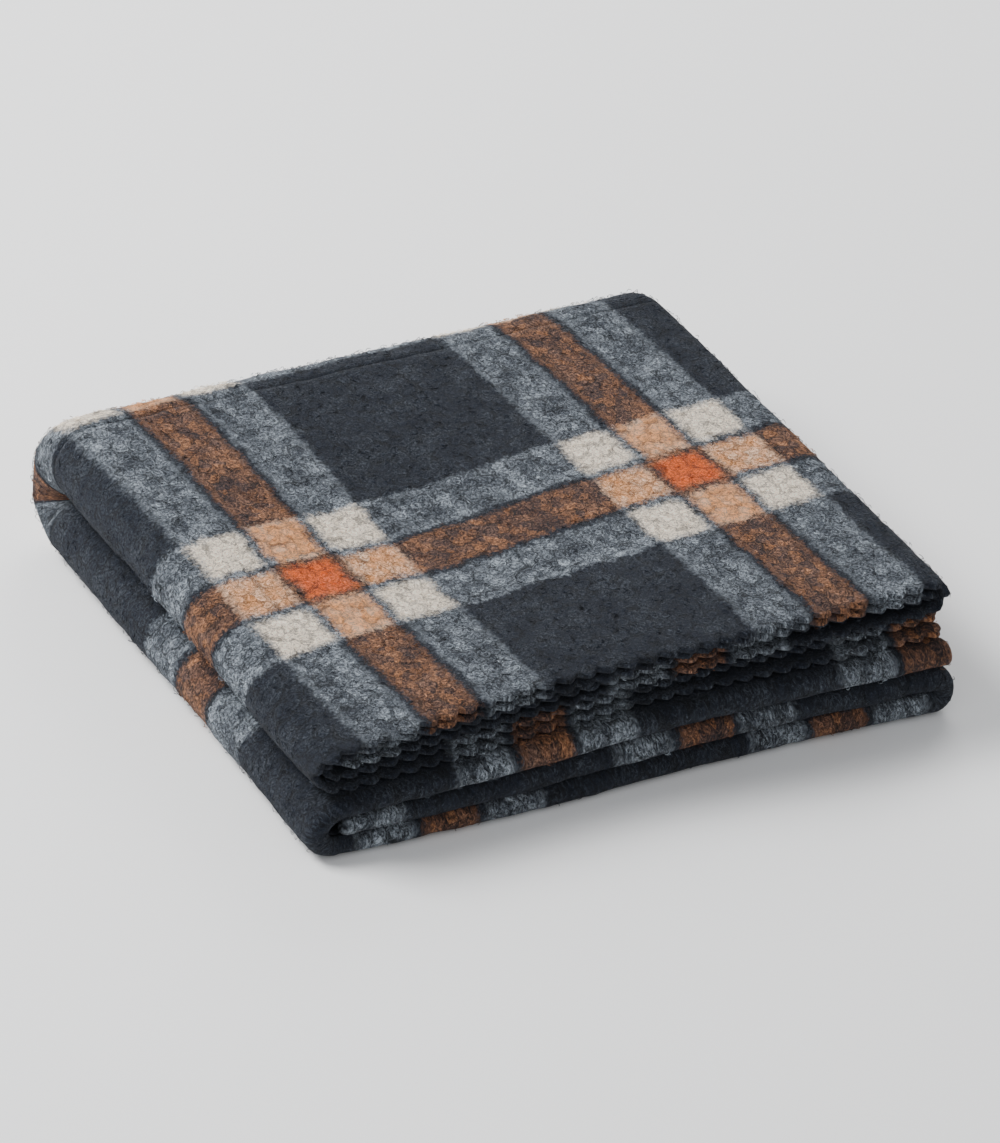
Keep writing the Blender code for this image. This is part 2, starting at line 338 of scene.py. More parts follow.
def pack_shape(p):
    """How the pack really lies: askew, lower at the front left, with its rolls pushed out."""
    x, y, z = p[..., 0], p[..., 1], p[..., 2]
    fx, fy = x / HALF_WIDTH, y / HALF_DEPTH
    up = z / (2 * HALF_HEIGHT)
    right, back = smooth(0.5 + fx / 2), smooth(0.5 + fy / 2)
    height = CORNER_HEIGHTS[0] * (1 - right) * (1 - back) + CORNER_HEIGHTS[1] * right * (1 - back)
    height = height + CORNER_HEIGHTS[2] * (1 - right) * back + CORNER_HEIGHTS[3] * right * back
    ridge = np.exp(-(((fx - RIDGE_PLACE) / RIDGE_SPREAD) ** 2)) * smooth(-fy)
    across, along = (fx - DIP_PLACE[0]) / DIP_SPREAD[0], (fy - DIP_PLACE[1]) / DIP_SPREAD[1]
    dip = np.exp(-(across**2 + along**2))
    drop = smooth((DROP_PLACE[0] - fx) / DROP_SPREAD) * smooth(DROP_PLACE[1] - fy)
    height = height + RIDGE * ridge - DIP * dip - DROP * drop
    # The halves keep their meeting line with the hinge, so that they open flat
    at_hinge = smooth((y + HINGE[1]) / (2 * HINGE[1]))
    below, above = np.minimum(z, HINGE[2]), np.maximum(z - HINGE[2], 0)
    lower_height = 1 + (height - 1) * (1 - at_hinge)
    out = np.empty_like(p)
    out[..., 2] = below * lower_height + above * (2 * height - lower_height)
    low = smooth(1 - 1.6 * up)
    left_lean = LEFT_LEAN[1] * back + LEFT_LEAN[0] * (1 - back) * low
    lean = left_lean * smooth(-fx) + RIGHT_LEAN * up * smooth(fx)
    out[..., 0] = x - SKEW * fy - lean + SIDE_WAVE * np.sin(3 * fy) * (up - 0.5)
    slide = STRETCH * y - SKEW * fx + FRONT_WAVE * np.sin(4 * fx + 3 * up)
    slide = slide - FRONT_TOE * low * (1 - back)
    out[..., 1] = y + slide * (1 - at_hinge)
    return out


def selvedge_lobes(section, run, cloth):
    """How near each column is to a side edge, and how far out of its valley each row is."""
    near = np.clip(1 - section.from_edge / cloth.edge_reach, 0, 1) ** 2
    lobe = np.abs(np.sin(math.pi * run / cloth.lobe_pitch))
    return near[None, :], lobe[:, None]


def rounded(distance):
    """Half the cloth's thickness, as a share, at a distance from a cut edge."""
    inside = 1 - np.clip(distance / (THICKNESS * EDGE_ROUNDING), 0, 1)
    return np.sqrt(np.clip(1 - inside * inside, 0, 1))


def surface_volume(points, faces):
    """Six times the volume inside closed faces, negative when they point inwards."""
    corners = points[faces]
    fan = np.cross(corners[:, 1], corners[:, 2]) + np.cross(corners[:, 2], corners[:, 3])
    return (corners[:, 0] * fan).sum()


def closed_sheet(name, outer, inner, u, v, welded):
    """A closed piece from the grids of its two faces. welded names the sides where they meet."""
    rows, columns = outer.shape[:2]
    upper = np.arange(rows * columns).reshape(rows, columns)
    lower = upper + rows * columns
    rims = {
        "front": (upper[0], lower[0], False),
        "back": (upper[-1], lower[-1], True),
        "start": (upper[:, 0], lower[:, 0], True),
        "end": (upper[:, -1], lower[:, -1], False),
    }
    same = np.arange(2 * rows * columns)
    for side in welded:
        same[rims[side][1]] = rims[side][0]
    quads = np.stack([upper[:-1, :-1], upper[:-1, 1:], upper[1:, 1:], upper[1:, :-1]], -1)
    quads = quads.reshape(-1, 4)
    wide = np.concatenate([quads, same[quads + rows * columns][:, ::-1]])
    points = np.concatenate([outer.reshape(-1, 3), inner.reshape(-1, 3)])
    inside_out = surface_volume(points, wide) < 0
    faces = wide.tolist()
    for side, (above, below, turned) in rims.items():
        if side in welded:
            continue
        for ring in zip(above[:-1], same[below[:-1]], same[below[1:]], above[1:]):
            ring = list(dict.fromkeys(int(i) for i in ring))
            if len(ring) > 2:
                faces.append(ring[::-1] if turned else ring)
    if inside_out:
        faces = [face[::-1] for face in faces]
    used, number = np.unique(same, return_inverse=True)
    mesh = bpy.data.meshes.new(name)
    mesh.from_pydata(points[used].tolist(), [], [[int(number[i]) for i in face] for face in faces])
    uv = np.concatenate([np.stack([u, v], -1).reshape(-1, 2)] * 2)[used]
    loops = np.zeros(len(mesh.loops), np.int32)
    mesh.loops.foreach_get("vertex_index", loops)
    mesh.uv_layers.new(name="cloth").data.foreach_set("uv", uv[loops].astype(np.float32).ravel())
    mesh.polygons.foreach_set("use_smooth", np.arange(len(mesh.polygons)) < len(wide))
    piece = bpy.data.objects.new(name, mesh)
    bpy.context.collection.objects.link(piece)
    mesh.materials.append(wool_material())
    return piece


def lumps(u, v, face, cloth):
    """How far the milled surface of one face stands out."""
    wide = lattice_noise(u, v, LUMP_SIZES[0], 3 + face)
    fine = lattice_noise(u, v, LUMP_SIZES[1], 7 + face)
    return cloth.lump_height * (wide + FINE_LUMPS * fine)


def sheet_piece(name, section, rows, bend, cloth, cut=False):
    """One layer of cloth as a closed piece.

    rows holds, for each row, its distance run from the hinge line, its place v along the sheet,
    and its turn round the first fold: 0 is the outer layer and pi the inner one.
    bend(n, row) gives y and z of points at height n above the middle of the pack.
    """
    run, v_row, turn = rows["run"], rows["v"], rows["turn"]
    shape = (len(run), len(section.u))
    u = np.broadcast_to(section.u, shape)
    v = np.broadcast_to(v_row[:, None], shape)
    near, lobe = selvedge_lobes(section, run, cloth)
    valley = near * (1 - lobe)
    half_thick = THICKNESS / 2 * PLUMPNESS * rounded(section.from_edge)[None, :]
    half_thick = half_thick * (1 - cloth.lobe_pinch * valley)
    inset = np.zeros(shape)
    welded = ["start", "end"]
    if cut:
        from_front = run[0] - run
        near = np.clip(1 - from_front / cloth.edge_reach, 0, 1)[:, None] ** 2
        front_valley = near * (1 - np.abs(np.sin(math.pi * section.phase))[None, :])
        half_thick = half_thick * rounded(from_front)[:, None] * (1 - cloth.lobe_pinch * front_valley)
        layer = int(turn[0] > 1)
        stagger = lattice_noise(section.u, 0.0, STAGGER_WAVE, 11 + layer) * cloth.stagger
        ease = smooth(1 - from_front / (STAGGER_REACH * cloth.edge_reach))[:, None]
        thinning = FRONT_THINNING * smooth(1 - from_front / THINNING_REACH)
        half_thick = half_thick * (1 - thinning)[:, None]
        under = np.clip((MIDDLE_THIRD - section.n) / (MIDDLE_THIRD - RIGHT_THIRD), 0, 1)
        setback = stagger + cloth.stagger + cloth.setback * smooth(under)
        setback = setback + INNER_SETBACK * cloth.setback * layer
        inset = front_valley * cloth.lobe_depth + setback[None, :] * ease
        welded.append("front")
    reach, forward = np.cos(turn)[:, None], np.sin(turn)[:, None]
    grids = []
    for face in (1, -1):
        out = PITCH / 2 + face * (half_thick + lumps(u, v, face, cloth) * half_thick / THICKNESS * 2)
        draw_in = valley * cloth.lobe_depth * section.inward[None, :]
        x = section.x + section.nx * reach * out + draw_in * section.nn
        n = section.n + section.nn * reach * out
        y, z = bend(n, np.arange(len(run))[:, None])
        grids.append(pack_shape(np.stack([x + 0 * y, y - forward * out + inset, z + 0 * x], -1)))
    return closed_sheet(name, grids[0], grids[1], u, v, welded)


def straight_rows(front, cloth, layer, cut):
    """Rows from the front to the hinge line, one for each quarter of a lobe."""
    length = HINGE[1] - front
    count = 4 * round(length / cloth.lobe_pitch)
    run = np.linspace(length, 0, count + 1)
    if cut:
        run = np.sort(np.concatenate([run, length - RIM_ROWS]))[::-1]
        v = length - run
    else:
        v = CUT_TO_HINGE + BACK_LENGTH + run
    return {"run": run, "v": v, "turn": np.full(len(run), math.pi * layer)}


def with_first_fold(rows):
    """The outer layer's rows, and before them those that turn round the front from the inner layer."""
    steps = np.linspace(math.pi, 0, FOLD_STEPS + 1)[:-1]
    extra = np.full(len(steps), rows["run"][0])
    return {
        "run": np.concatenate([extra, rows["run"]]),
        "v": np.concatenate([rows["v"][0] + PITCH / 2 * steps, rows["v"]]),
        "turn": np.concatenate([steps, rows["turn"]]),
    }


def half_bend(half, run):
    """Points of a flat half: half is 1 above the middle of the pack and -1 below it."""

    def bend(n, row):
        return (HINGE[1] - run)[row] + 0 * n, HINGE[2] + half * n

    return bend


def back_bend(angles):
    """Points of the last fold, at an angle about the hinge from straight down to straight up."""

    def bend(n, row):
        return HINGE[1] + n * np.cos(angles)[row], HINGE[2] + n * np.sin(angles)[row]

    return bend


def finish_piece(nodes):
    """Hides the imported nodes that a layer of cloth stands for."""
    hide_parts(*nodes)


def nodes_of(prefix, layer):
    """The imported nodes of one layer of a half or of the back."""
    return [name for name in frame["nodes"] if name.startswith(prefix) and name.endswith(layer)]


# ---------------------------------------------------------------- the wool's material


class Tree:
    """Adds nodes to a material or a node group, and links sockets or sets plain values."""

    def __init__(self, tree):
        self.tree = tree

    def add(self, kind, **values):
        node = self.tree.nodes.new(kind)
        for name, value in values.items():
            setattr(node, name, value)
        return node

    def feed(self, socket, value):
        if isinstance(value, bpy.types.NodeSocket):
            self.tree.links.new(value, socket)
        else:
            socket.default_value = value

    def math(self, operation, *values, clamp=False):
        node = self.add("ShaderNodeMath", operation=operation, use_clamp=clamp)
        for socket, value in zip(node.inputs, values):
            self.feed(socket, value)
        return node.outputs[0]

    def ramp(self, value, low, high, out_low=0.0, out_high=1.0):
        node = self.add("ShaderNodeMapRange", interpolation_type="SMOOTHSTEP")
        for name, given in (
            ("Value", value),
            ("From Min", low),
            ("From Max", high),
            ("To Min", out_low),
            ("To Max", out_high),
        ):
            self.feed(node.inputs[name], given)
        return node.outputs["Result"]

    def mix(self, factor, a, b, blend="MIX"):
        node = self.add("ShaderNodeMix", data_type="RGBA", blend_type=blend)
        self.feed(node.inputs["Factor"], factor)
        self.feed(node.inputs["A"], a)
        self.feed(node.inputs["B"], b)
        return node.outputs["Result"]

    def noise(self, vector, scale, detail=2.0, roughness=0.5, distortion=0.0):
        node = self.add("ShaderNodeTexNoise")
        self.feed(node.inputs["Vector"], vector)
        self.feed(node.inputs["Scale"], scale)
        node.inputs["Detail"].default_value = detail
        node.inputs["Roughness"].default_value = roughness
        node.inputs["Distortion"].default_value = distortion
        return node.outputs

    def vector(self, operation, a, b=None, scale=None):
        node = self.add("ShaderNodeVectorMath", operation=operation)
        self.feed(node.inputs[0], a)
        if b is not None:
            self.feed(node.inputs[1], b)
        if scale is not None:
            self.feed(node.inputs["Scale"], scale)
        return node.outputs[0]

    def group(self, group, **values):
        node = self.add("ShaderNodeGroup", node_tree=group)
        for name, value in values.items():
            self.feed(node.inputs[name.replace("_", " ")], value)
        return node.outputs


def new_group(name, inputs, outputs):
    """An empty node group with named sockets."""
    group = bpy.data.node_groups.new(name, "ShaderNodeTree")
    for label, kind in inputs.items():
        group.interface.new_socket(name=label, in_out="INPUT", socket_type="NodeSocket" + kind)
    for label, kind in outputs.items():
        group.interface.new_socket(name=label, in_out="OUTPUT", socket_type="NodeSocket" + kind)
    tree = Tree(group)
    return group, tree, tree.add("NodeGroupInput").outputs, tree.add("NodeGroupOutput").inputs


def stripes_group():
    """Yarns laid side by side in one direction: masks for the orange stripe and the white bands."""
    name = "yarn_stripes"
    if name in bpy.data.node_groups:
        return bpy.data.node_groups[name]
    inputs = dict.fromkeys(("Place", "Repeat", "Orange", "Line", "White", "Softness"), "Float")
    group, tree, given, result = new_group(name, inputs, {"Orange": "Float", "White": "Float"})
    half = tree.math("MULTIPLY", given["Repeat"], 0.5)
    away = tree.math("PINGPONG", given["Place"], half)
    orange_edge = tree.math("MULTIPLY", given["Orange"], 0.5)
    white_start = tree.math("ADD", orange_edge, given["Line"])
    white_end = tree.math("ADD", white_start, given["White"])

    def inside(edge):
        low = tree.math("SUBTRACT", edge, given["Softness"])
        high = tree.math("ADD", edge, given["Softness"])
        return tree.ramp(away, low, high, 1.0, 0.0)

    tree.feed(result["Orange"], inside(orange_edge))
    tree.feed(result["White"], tree.math("SUBTRACT", inside(white_end), inside(white_start)))
    return group


def curls_group():
    """Curled wool: a height, a strand pattern and a random value for each curl."""
    name = "wool_curls"
    if name in bpy.data.node_groups:
        return bpy.data.node_groups[name]
    outputs = dict.fromkeys(("Height", "Strand", "Fuzz", "Curl", "Patch"), "Float")
    group, tree, given, result = new_group(name, {"Vector": "Vector", "Size": "Float"}, outputs)
    per_metre = tree.math("DIVIDE", 1.0, given["Size"])
    sway = tree.noise(given["Vector"], tree.math("MULTIPLY", per_metre, 0.8), 2.0)["Color"]
    sway = tree.vector("SUBTRACT", sway, (0.5, 0.5, 0.5))
    sway = tree.vector("SCALE", sway, scale=tree.math("MULTIPLY", given["Size"], 1.1))
    bent = tree.vector("ADD", given["Vector"], sway)
    cells = tree.add("ShaderNodeTexVoronoi", voronoi_dimensions="2D")
    tree.feed(cells.inputs["Vector"], bent)
    tree.feed(cells.inputs["Scale"], per_metre)
    middle = cells.outputs["Distance"]
    tint = tree.add("ShaderNodeSeparateColor")
    tree.feed(tint.inputs[0], cells.outputs["Color"])
    spin = tree.math("MULTIPLY", tint.outputs[0], 6.28)
    rings = tree.math("SINE", tree.math("ADD", tree.math("MULTIPLY", middle, 15.0), spin))
    strand = tree.noise(bent, tree.math("MULTIPLY", per_metre, 4.2), 4.0, 0.65, 1.6)["Fac"]
    strand = tree.ramp(strand, 0.30, 0.70)
    ring_part = tree.math("MULTIPLY", rings, 0.16)
    strand = tree.math("ADD", tree.math("MULTIPLY", strand, 0.78), tree.math("ADD", ring_part, 0.11))
    dome = tree.math("SUBTRACT", 1.0, tree.math("MULTIPLY", middle, middle))
    height = tree.math("ADD", tree.math("MULTIPLY", dome, 0.4), tree.math("MULTIPLY", strand, 0.6))
    patch = tree.noise(given["Vector"], tree.math("MULTIPLY", per_metre, 0.28), 3.0, 0.6)["Fac"]
    fuzz = tree.noise(bent, tree.math("MULTIPLY", per_metre, 11.0), 3.0, 0.7, 2.5)["Fac"]
    fuzz = tree.ramp(fuzz, 0.30, 0.70)
    tree.feed(result["Fuzz"], fuzz)
    height = tree.math("ADD", tree.math("MULTIPLY", height, 0.72), tree.math("MULTIPLY", fuzz, 0.28))
    tree.feed(result["Height"], height)
    tree.feed(result["Strand"], strand)
    tree.feed(result["Curl"], tint.outputs[1])
    tree.feed(result["Patch"], tree.ramp(patch, 0.3, 0.7))
    return group


def crossing_group():
    """The colour where two yarns cross. Navy covers more than the others, and either may lie on top."""
    name = "yarn_crossing"
    if name in bpy.data.node_groups:
        return bpy.data.node_groups[name]
    inputs = {"Warp Orange": "Float", "Warp White": "Float", "Weft Orange": "Float"}
    inputs.update({"Weft White": "Float", "Mottle": "Float"})
    inputs.update(dict.fromkeys(("Navy", "Cream", "Mist", "Orange", "Amber"), "Color"))
    group, tree, given, result = new_group(name, inputs, {"Color": "Color"})

    def yarn_of(own, other):
        orange, white = given[own + " Orange"], given[own + " White"]
        other_orange = given[other + " Orange"]
        other_light = tree.math("ADD", other_orange, given[other + " White"])
        pale = tree.mix(other_light, given["Mist"], given["Cream"])
        stripe = tree.mix(other_orange, given["Amber"], given["Orange"])
        colour = tree.mix(orange, tree.mix(white, given["Navy"], pale), stripe)
        light = tree.math("ADD", orange, white)
        cover = tree.math("SUBTRACT", NAVY_COVER, tree.math("MULTIPLY", light, NAVY_COVER - 1))
        extra = tree.math("MULTIPLY", given[other + " White"], ORANGE_EXTRA)
        return colour, tree.math("ADD", cover, tree.math("MULTIPLY", orange, extra))

    warp, warp_cover = yarn_of("Warp", "Weft")
    weft, weft_cover = yarn_of("Weft", "Warp")
    lift = tree.math("POWER", MOTTLE_CONTRAST, given["Mottle"])
    weft_cover = tree.math("MULTIPLY", weft_cover, lift)
    share_of_weft = tree.math("DIVIDE", weft_cover, tree.math("ADD", warp_cover, weft_cover))
    tree.feed(result["Color"], tree.mix(share_of_weft, warp, weft))
    return group


def off_grain(tree, u, v):
    """Turns the plaid a little, because the sheet wasn't folded along its yarns."""
    back_turn = CUT_TO_HINGE + BACK_LENGTH / 2
    left_turn = FREE_EDGE - LEFT + math.pi * LEFT_FOLD[1] / 2
    span = RIGHT - LEFT + 1.5 * (LEFT_FOLD[1] + RIGHT_FOLD[1])
    depth = tree.math("PINGPONG", v, back_turn)
    width = tree.math("PINGPONG", tree.math("SUBTRACT", u, left_turn), span)
    slip_u = tree.math("MULTIPLY", tree.math("SUBTRACT", depth, back_turn / 2), OFF_GRAIN[0])
    slip_v = tree.math("MULTIPLY", tree.math("SUBTRACT", width, span / 2), OFF_GRAIN[1])
    return tree.math("ADD", u, slip_u), tree.math("SUBTRACT", v, slip_v)


def wool_material():
    """Yarn-dyed milled wool, patterned by its place in the sheet."""
    name = "camp_wool"
    if name in bpy.data.materials:
        return bpy.data.materials[name]
    cloth, colours, _ = settings()
    material = bpy.data.materials.new(name)
    material.use_nodes = True
    tree = Tree(material.node_tree)
    shader = material.node_tree.nodes["Principled BSDF"]
    place = tree.add("ShaderNodeUVMap", uv_map="cloth").outputs[0]
    curls = tree.group(curls_group(), Vector=place, Size=CURL_SIZE)
    drift = tree.noise(place, DRIFT_SCALE, 3.0, 0.6)["Color"]
    drift = tree.vector("SCALE", tree.vector("SUBTRACT", drift, (0.5, 0.5, 0.5)), scale=STRIPE_DRIFT)
    fray = tree.noise(place, FRAY_SCALE, 2.0)["Color"]
    fray = tree.vector("SCALE", tree.vector("SUBTRACT", fray, (0.5, 0.5, 0.5)), scale=STRIPE_FRAY)
    axes = tree.add("ShaderNodeSeparateXYZ")
    tree.feed(axes.inputs[0], tree.vector("ADD", tree.vector("ADD", place, drift), fray))
    along, up = off_grain(tree, axes.outputs[0], axes.outputs[1])
    sizes = {"Repeat": cloth.repeat, "Orange": cloth.orange_width, "Line": cloth.line_width}
    sizes.update({"White": cloth.white_width, "Softness": STRIPE_SOFTNESS})
    warp_place = tree.math("SUBTRACT", along, cloth.warp_stripe)
    weft_place = tree.math("SUBTRACT", up, cloth.weft_stripe)
    warp = tree.group(stripes_group(), Place=warp_place, **sizes)
    weft = tree.group(stripes_group(), Place=weft_place, **sizes)
    shares = {
        name: tree.math("MULTIPLY", tree.math("SUBTRACT", curls[name], 0.5), amount)
        for name, amount in MOTTLE_SHARES.items()
    }
    streak = tree.math("ADD", shares["Strand"], shares["Fuzz"])
    mottle = tree.math("ADD", tree.math("ADD", shares["Curl"], streak), shares["Patch"])
    # The sign follows the lighter yarn, so that light curls stand out on either side
    light_warp = tree.math("ADD", warp["Orange"], warp["White"])
    turn = tree.math("SUBTRACT", 1.0, tree.math("MULTIPLY", light_warp, 2.0))
    crossing = tree.group(
        crossing_group(),
        Warp_Orange=warp["Orange"],
        Warp_White=warp["White"],
        Weft_Orange=weft["Orange"],
        Weft_White=weft["White"],
        Mottle=tree.math("MULTIPLY", mottle, turn),
        Navy=(*colours.navy, 1.0),
        Cream=(*colours.cream, 1.0),
        Mist=(*colours.mist, 1.0),
        Orange=(*colours.orange, 1.0),
        Amber=(*colours.amber, 1.0),
    )["Color"]
    flecks = tree.math("MULTIPLY", curls["Strand"], curls["Fuzz"])
    flecks = tree.ramp(tree.math("ADD", flecks, shares["Patch"]), 0.25, 0.95, 0.0, FLECK_COVER)
    crossing = tree.mix(flecks, crossing, (*colours.mist, 1.0))
    # Painted shade and highlight: the base colour is darkened where the curls' height is low and lightened
    # where it is high
    depth = tree.ramp(curls["Height"], 0.32, 0.82, PAINTED_SHADE, PAINTED_HIGHLIGHT)
    tree.feed(shader.inputs["Base Color"], tree.vector("SCALE", crossing, scale=depth))
    tree.feed(shader.inputs["Roughness"], tree.ramp(curls["Strand"], 0.0, 1.0, 0.98, 0.82))
    bump = tree.add("ShaderNodeBump")
    bump.inputs["Strength"].default_value = BUMP_STRENGTH
    bump.inputs["Distance"].default_value = BUMP_DEPTH
    tree.feed(bump.inputs["Height"], curls["Height"])
    tree.feed(shader.inputs["Normal"], bump.outputs[0])
    shader.inputs["Sheen Weight"].default_value = SHEEN
    shader.inputs["Sheen Roughness"].default_value = SHEEN_ROUGHNESS
    shader.inputs["Sheen Tint"].default_value = SHEEN_TINT
    shader.inputs["Specular IOR Level"].default_value = WOOL_SPECULAR
    return material


# ---------------------------------------------------------------- operators


class BLANKET_OT_halves(bpy.types.Operator):
    """Lays the two layers of the upper and of the lower half"""

    bl_idname = "blanket.halves"
    bl_label = "Upper and Lower Halves"

    def execute(self, context):
        cloth = settings()[0]
        section = Section(cloth.lobe_pitch)
        for half, body, front in ((1, UPPER, CUT_FRONT), (-1, LOWER, FOLD_FRONT)):
            prefix = "upper" if half > 0 else "lower"
            for layer, side in enumerate(("outer", "inner")):
                cut = half > 0
                rows = straight_rows(front, cloth, layer, cut)
                nodes = nodes_of(prefix, side)
                if not cut and side == "outer":
                    rows = with_first_fold(rows)
                    nodes += nodes_of("front_", "")
                name = f"{prefix}_wool_{side}"
                bend = half_bend(half, rows["run"])
                piece = sheet_piece(name, section, rows, bend, cloth, cut)
                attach(piece, body)
                finish_piece(nodes)
        return {"FINISHED"}


class BLANKET_OT_back_fold(bpy.types.Operator):
    """Bends the two layers over the hinge at the back"""

    bl_idname = "blanket.back_fold"
    bl_label = "Back Fold"

    def execute(self, context):
        cloth = settings()[0]
        section = Section(cloth.lobe_pitch)
        for layer, side in enumerate(("outer", "inner")):
            share_round = np.linspace(0, 1, BACK_STEPS + 1)
            rows = {
                "run": share_round * BACK_LENGTH,
                "v": CUT_TO_HINGE + BACK_LENGTH * (1 - share_round),
                "turn": np.full(BACK_STEPS + 1, math.pi * layer),
            }
            bend = back_bend(math.pi * (share_round - 0.5))
            piece = sheet_piece(f"back_wool_{side}", section, rows, bend, cloth)
            bend_over_hinge(piece)
            finish_piece(nodes_of("back_", side))
        return {"FINISHED"}


def bend_over_hinge(piece):
    """Shares the bend evenly round the fold, so that every layer meets both halves."""
    middle, arm = Vector(HINGE), Vector((0, 0, HALF_HEIGHT))
    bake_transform(piece, LOWER, UPPER, start=middle - arm, end=middle + arm)
    mesh = piece.data
    place = np.zeros(2 * len(mesh.loops), np.float32)
    mesh.uv_layers["cloth"].data.foreach_get("uv", place)
    loops = np.zeros(len(mesh.loops), np.int32)
    mesh.loops.foreach_get("vertex_index", loops)
    weight = np.zeros(len(mesh.vertices), np.float32)
    weight[loops] = 1 - (place[1::2] - CUT_TO_HINGE) / BACK_LENGTH
    mesh.attributes["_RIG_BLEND"].data.foreach_set("value", np.clip(weight, 0, 1))


# ---------------------------------------------------------------- curls of wool


def faces_of(sheets):
    """Corners, and places in the sheet, of every triangle of the given pieces."""
    corners, places = [], []
    for piece in sheets:
        mesh = piece.data
        mesh.calc_loop_triangles()
        count = len(mesh.loop_triangles)
        points = np.zeros(3 * len(mesh.vertices), np.float32)
        mesh.vertices.foreach_get("co", points)
        vertices, loops = np.zeros(3 * count, np.int32), np.zeros(3 * count, np.int32)
        mesh.loop_triangles.foreach_get("vertices", vertices)
        mesh.loop_triangles.foreach_get("loops", loops)
        uv = np.zeros(2 * len(mesh.loops), np.float32)
        mesh.uv_layers["cloth"].data.foreach_get("uv", uv)
        corners.append(points.reshape(-1, 3)[vertices].reshape(-1, 3, 3))
        places.append(uv.reshape(-1, 2)[loops].reshape(-1, 3, 2))
    return np.concatenate(corners).astype(float), np.concatenate(places).astype(float)


def scatter(corners, places, count, random):
    """Points strewn evenly over triangles, with their normals and places in the sheet."""
    normals = np.cross(corners[:, 1] - corners[:, 0], corners[:, 2] - corners[:, 0])
    areas = np.linalg.norm(normals, axis=1)
    chosen = random.choice(len(areas), count, p=areas / areas.sum())
    a, b = random.rand(2, count)
    beyond = a + b > 1
    a, b = np.where(beyond, 1 - a, a), np.where(beyond, 1 - b, b)
    weights = np.stack([1 - a - b, a, b], -1)
    normals = normals[chosen] / areas[chosen, None]
    points = (corners[chosen] * weights[..., None]).sum(1)
    return points, normals, (places[chosen] * weights[..., None]).sum(1)


def in_the_open(points, normals, solids):
    """Which points have nothing close in front of them."""
    tree = BVHTree.FromPolygons(
        solids.reshape(-1, 3).tolist(), np.arange(3 * len(solids)).reshape(-1, 3).tolist()
    )
    free = []
    for point, normal in zip(points, normals):
        start, away = Vector(point), Vector(normal)
        resting = start.z + away.z * REST_REACH < REST_HEIGHT
        joined = abs(start.y - HINGE[1]) < JOINED_STRIP
        blocked = tree.ray_cast(start + away * STAND_OFF, away, CLEAR_SPACE)[0] is not None
        free.append(not (resting or joined or blocked))
    return np.array(free)


def curl_rings(points, normals, pile, random):
    """Points of every curl: its root, three round each ring, and its tip."""
    count = len(points)
    side = np.cross(normals, random.normal(size=(count, 3)))
    side /= np.linalg.norm(side, axis=1)[:, None]
    ahead = np.cross(normals, side)
    radius = pile.length * (CURL_RADIUS[0] + CURL_RADIUS[1] * random.rand(count, 1))
    sweep = random.uniform(*CURL_SWEEP, (count, 1)) * random.choice([-1, 1], (count, 1))
    lift = pile.length * (CURL_LIFT[0] + CURL_LIFT[1] * random.rand(count, 1) ** 2)
    rings = []
    for step in range(CURL_RINGS + 2):
        t = step / (CURL_RINGS + 1)
        angle = sweep * (t - 0.5)
        spot = points + radius * (np.sin(angle) * ahead + (np.cos(angle) - CURL_CENTRE) * side)
        spot = spot + normals * (lift * math.sin(math.pi * (0.12 + 0.88 * t)) - ROOT_DEPTH)
        if step in (0, CURL_RINGS + 1):
            rings.append(spot[:, None])
            continue
        out = np.cos(angle) * side + np.sin(angle) * ahead
        thick = pile.width / 2 * math.sin(math.pi * t) ** 0.5
        turns = [2 * math.pi * k / 3 + math.pi / 2 for k in range(3)]
        corners = [spot + thick * (math.cos(w) * out + math.sin(w) * normals) for w in turns]
        rings.append(np.stack(corners, 1))
    return np.concatenate(rings, 1)


def curl_faces(last):
    """The faces of one curl, whose tip is its last point."""
    faces = []
    for k in range(3):
        following = (k + 1) % 3
        faces.append((0, 1 + k, 1 + following))
        faces.append((last, last - 3 + following, last - 3 + k))
        for ring in range(CURL_RINGS - 1):
            a, b = 1 + 3 * ring + k, 1 + 3 * ring + following
            faces.append((a, a + 3, b))
            faces.append((b, a + 3, b + 3))
    return np.array(faces)


def curl_piece(name, sheets, solids, pile, count, seed):
    """A piece of many short curls that stand on the open faces of some sheets."""
    random = np.random.RandomState(seed)
    corners, places = faces_of(sheets)
    points, normals, uv = scatter(corners, places, DRAWN_PER_CURL * count, random)
    kept = np.flatnonzero(in_the_open(points, normals, solids))[:count]
    points, normals, uv = points[kept], normals[kept], uv[kept]
    shape = curl_rings(points, normals, pile, random)
    per_curl = shape.shape[1]
    one_curl = curl_faces(per_curl - 1)
    first_points = per_curl * np.arange(len(points))[:, None, None]
    turned = surface_sides(shape, one_curl)[:, None, None]
    faces = one_curl[None] + first_points
    faces = np.where(turned, faces[..., ::-1], faces).reshape(-1, 3)
    mesh = bpy.data.meshes.new(name)
    mesh.from_pydata(shape.reshape(-1, 3).tolist(), [], faces.tolist())
    loops = np.zeros(len(mesh.loops), np.int32)
    mesh.loops.foreach_get("vertex_index", loops)
    uv = uv[loops // per_curl].astype(np.float32)
    mesh.uv_layers.new(name="cloth").data.foreach_set("uv", uv.ravel())
    mesh.shade_smooth()
    piece = bpy.data.objects.new(name, mesh)
    bpy.context.collection.objects.link(piece)
    mesh.materials.append(wool_material())
    return piece


def surface_sides(shape, faces):
    """Which curls have their faces pointing inwards."""
    corners = (shape - shape.mean(1, keepdims=True))[:, faces]
    volume = (corners[:, :, 0] * np.cross(corners[:, :, 1], corners[:, :, 2])).sum((1, 2))
    return volume < 0


